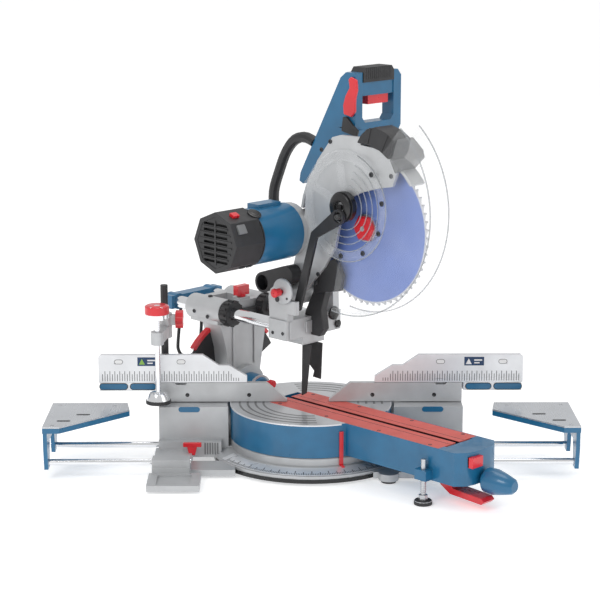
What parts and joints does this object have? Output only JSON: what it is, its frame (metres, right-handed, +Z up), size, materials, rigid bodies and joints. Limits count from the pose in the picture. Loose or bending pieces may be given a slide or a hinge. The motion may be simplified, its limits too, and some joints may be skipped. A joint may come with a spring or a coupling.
{
  "type": "sliding miter saw",
  "caption": "Sliding compound miter saw with a turntable, twin slide rails, a swinging saw head with guards, sliding fences, extension tables and a work clamp.",
  "frame": {"origin": "turntable axis at floor level, on the underside of the centre foot", "axes": "+X runs right along the fence, +Y points to the back, +Z up"},
  "size_m": [1.048, 0.7446, 0.792],
  "materials": {
    "blue_paint": "satin",
    "cast": "satin",
    "black_plastic": "matte",
    "rubber": "matte",
    "red_plastic": "gloss",
    "insert": "matte",
    "chrome": "polished",
    "steel": "brushed",
    "guard_clear": "gloss",
    "blade_steel": "satin",
    "copper": "satin"
  },
  "bodies": {
    "base": {"base_casting": "cast", "pivot_bolt": "steel", "rubber_foot_1": "rubber", "rubber_foot_2": "rubber", "rubber_foot_3": "rubber", "rubber_foot_4": "rubber", "fence_left": "cast", "fence_right": "cast", "clamp_post": "black_plastic", "cord_gland": "rubber", "cord_tube": "rubber", "cord_coil": "rubber", "plug": "black_plastic"},
    "upper_fence_left": {"upper_fence_left": "cast"},
    "upper_fence_right": {"upper_fence_right": "cast"},
    "extension_left": {"extension_frame_left": "blue_paint", "extension_plate_left": "steel", "extension_rod_left_rear": "chrome", "extension_rod_left_front": "chrome"},
    "extension_right": {"extension_frame_right": "blue_paint", "extension_plate_right": "steel", "extension_rod_right_rear": "chrome", "extension_rod_right_front": "chrome"},
    "clamp_arm": {"clamp_arm": "cast"},
    "clamp_knob": {"clamp_arm_knob": "red_plastic"},
    "clamp_screw": {"clamp_spindle": "chrome"},
    "table": {"turntable": "blue_paint", "kerf_insert_left": "insert", "kerf_insert_right": "insert"},
    "miter_knob": {"miter_knob": "blue_paint"},
    "detent_button": {"detent_button": "red_plastic"},
    "detent_lever": {"detent_lever": "red_plastic"},
    "levelling_foot": {"levelling_foot": "steel"},
    "bevel": {"bevel_arm": "cast", "slide_housing": "cast", "rail_collars": "black_plastic"},
    "slide_lock": {"slide_lock_knob": "red_plastic"},
    "carriage": {"rail_left": "chrome", "rail_right": "chrome", "rail_cap": "blue_paint", "head_bracket": "cast", "chip_flap": "rubber"},
    "lock_pin": {"head_lock_pin": "red_plastic"},
    "guard_link": {"guard_link": "black_plastic"},
    "head": {"upper_guard": "cast", "belt_housing": "black_plastic", "drive_belt": "rubber", "motor_housing": "blue_paint", "motor_end_cap": "black_plastic", "dust_port": "black_plastic", "handle_arm": "blue_paint", "handle_grip": "rubber", "carry_handle": "black_plastic"},
    "blade": {"arbor_shaft": "steel", "saw_blade": "blade_steel"},
    "rotor": {"motor_rotor": "copper"},
    "trigger": {"trigger": "red_plastic"},
    "lock_off": {"lock_off_lever": "red_plastic"},
    "lower_guard": {"lower_guard": "guard_clear", "guard_hub": "cast"}
  },
  "joints": [
    {"name": "miter", "type": "hinge", "parent": "base", "child": "table", "pos_m": [0, 0, 0.06], "axis": [0, 0, 1], "range_deg": [-78, 15]},
    {"name": "bevel", "type": "hinge", "parent": "table", "child": "bevel", "pos_m": [-0.13435, 0.13435, 0.112], "axis": [-0.7071, 0.7071, 0], "range_deg": [-30, 45]},
    {"name": "slide", "type": "slide", "parent": "bevel", "child": "carriage", "axis": [0.7071, -0.7071, 0], "range_m": [-0.115, 0.045]},
    {"name": "chop", "type": "hinge", "parent": "carriage", "child": "head", "pos_m": [-0.01414, 0.01414, 0.337], "axis": [0.7071, 0.7071, 0], "range_deg": [0, 62], "stiffness_Nm_per_rad": 25, "springref_deg": -103.13},
    {"name": "guard_swing", "type": "hinge", "parent": "head", "child": "lower_guard", "pos_m": [0.08839, -0.08839, 0.535], "axis": [0.7071, 0.7071, 0], "range_deg": [-125, 0]},
    {"name": "link_swing", "type": "hinge", "parent": "carriage", "child": "guard_link", "pos_m": [-0.02616, -0.05445, 0.324], "axis": [0.7071, 0.7071, 0], "range_deg": [0, 67.5]},
    {"name": "rotor_spin", "type": "hinge", "parent": "head", "child": "rotor", "pos_m": [-0.02475, 0.02475, 0.468], "axis": [0.7071, 0.7071, 0], "continuous": true},
    {"name": "blade_spin", "type": "hinge", "parent": "head", "child": "blade", "pos_m": [0.1096, -0.1096, 0.493], "axis": [0.7071, 0.7071, 0], "continuous": true},
    {"name": "trigger_pull", "type": "slide", "parent": "head", "child": "trigger", "axis": [0, 0, 1], "range_m": [0, 0.0045], "stiffness_N_per_m": 800, "springref_m": -0.004},
    {"name": "lock_off_tilt", "type": "hinge", "parent": "head", "child": "lock_off", "pos_m": [0.07425, -0.04031, 0.75], "axis": [0.7071, 0.7071, 0], "range_deg": [0, 10], "stiffness_Nm_per_rad": 0.4, "springref_deg": -17.19},
    {"name": "lock_pin_pull", "type": "slide", "parent": "carriage", "child": "lock_pin", "axis": [-0.7071, -0.7071, 0], "range_m": [0, 0.012], "stiffness_N_per_m": 400, "springref_m": -0.002},
    {"name": "slide_lock_turn", "type": "hinge", "parent": "bevel", "child": "slide_lock", "pos_m": [-0.14284, 0.14284, 0.305], "axis": [0, 0, 1], "continuous": true},
    {"name": "miter_knob_turn", "type": "hinge", "parent": "table", "child": "miter_knob", "pos_m": [0.32244, -0.31537, 0.053], "axis": [0.7071, -0.7071, 0], "continuous": true},
    {"name": "detent_button_press", "type": "slide", "parent": "table", "child": "detent_button", "axis": [-0.7071, 0.7071, 0], "range_m": [0, 0.004], "stiffness_N_per_m": 600, "springref_m": -0.002},
    {"name": "detent_lever_press", "type": "hinge", "parent": "table", "child": "detent_lever", "pos_m": [0.26587, -0.26587, 0.039], "axis": [0.7071, 0.7071, 0], "range_deg": [0, 5], "stiffness_Nm_per_rad": 3, "springref_deg": -20.05},
    {"name": "levelling_foot_screw", "type": "slide", "parent": "table", "child": "levelling_foot", "axis": [0, 0, 1], "range_m": [0, 0.02]},
    {"name": "upper_fence_left_slide", "type": "slide", "parent": "base", "child": "upper_fence_left", "axis": [-1, 0, 0], "range_m": [0, 0.11]},
    {"name": "upper_fence_right_slide", "type": "slide", "parent": "base", "child": "upper_fence_right", "axis": [1, 0, 0], "range_m": [0, 0.11]},
    {"name": "extension_left_slide", "type": "slide", "parent": "base", "child": "extension_left", "axis": [1, 0, 0], "range_m": [-0.04, 0.05]},
    {"name": "extension_right_slide", "type": "slide", "parent": "base", "child": "extension_right", "axis": [1, 0, 0], "range_m": [-0.05, 0.04]},
    {"name": "clamp_arm_height", "type": "slide", "parent": "base", "child": "clamp_arm", "axis": [0, 0, 1], "range_m": [0, 0.05]},
    {"name": "clamp_knob_turn", "type": "hinge", "parent": "clamp_arm", "child": "clamp_knob", "pos_m": [-0.266, 0.036, 0.278], "axis": [1, 0, 0], "continuous": true},
    {"name": "clamp_spindle_screw", "type": "slide", "parent": "clamp_arm", "child": "clamp_screw", "axis": [0, 0, 1], "range_m": [-0.009, 0.04]}
  ],
  "couplings": [
    {"joint": "guard_swing", "follows": "chop", "ratio": -2.016},
    {"joint": "link_swing", "follows": "chop", "ratio": 1.087},
    {"joint": "blade_spin", "follows": "rotor_spin", "ratio": 0.71429}
  ]
}
